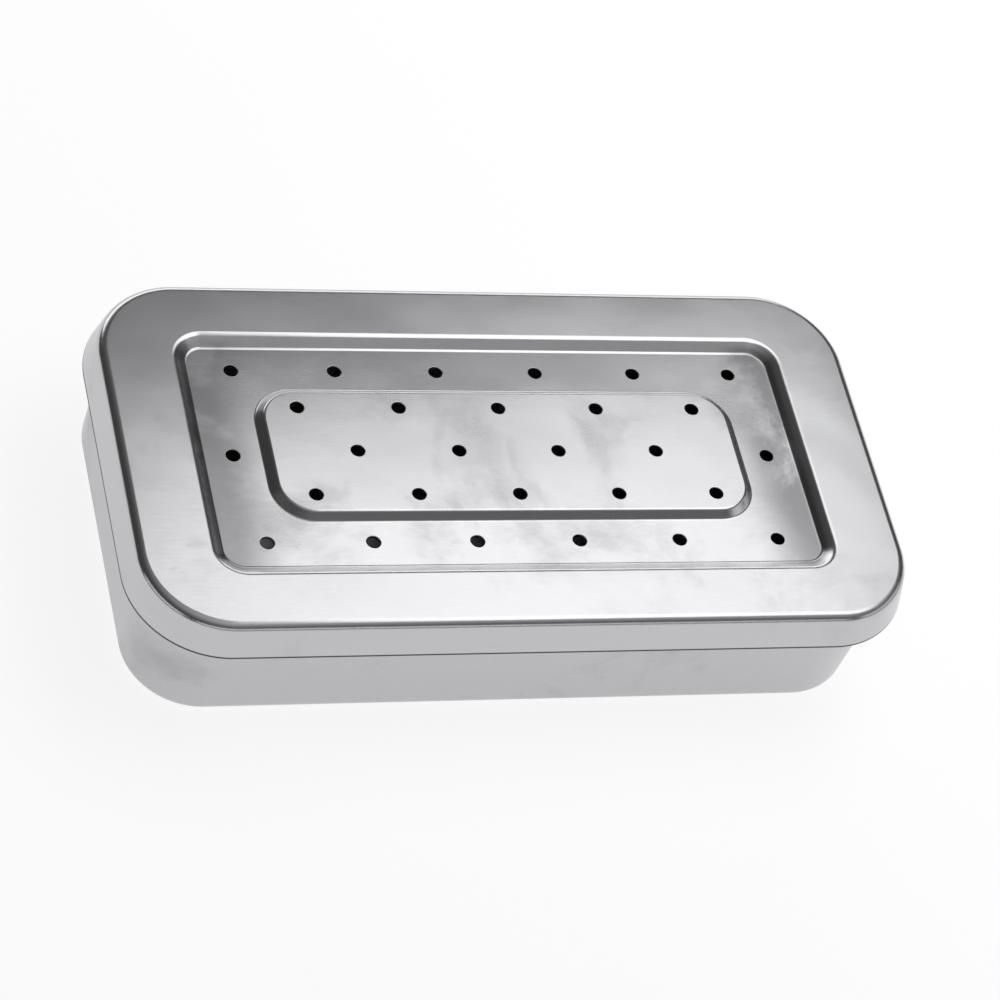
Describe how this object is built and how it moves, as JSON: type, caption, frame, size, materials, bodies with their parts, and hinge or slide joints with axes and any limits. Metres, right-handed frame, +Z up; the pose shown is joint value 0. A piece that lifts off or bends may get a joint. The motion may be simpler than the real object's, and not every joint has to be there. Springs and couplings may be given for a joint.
{
  "type": "sterilization container",
  "caption": "Shallow two-piece steel box with round corners: a drawn pan and a lift-off lid with a pressed channel, a raised panel and round steam holes.",
  "frame": {"origin": "middle of the pan's bottom, on the surface that the box stands on", "axes": "+X along the long side, +Z up through the lid"},
  "size_m": [0.2, 0.106, 0.04],
  "materials": {
    "lid_steel": "satin",
    "pan_steel": "satin"
  },
  "bodies": {
    "base": {"pan": "pan_steel"},
    "cover": {"lid": "lid_steel"}
  },
  "joints": [
    {"name": "lid_lift", "type": "slide", "parent": "base", "child": "cover", "axis": [0, 0, 1], "range_m": [0, 0.06]}
  ]
}
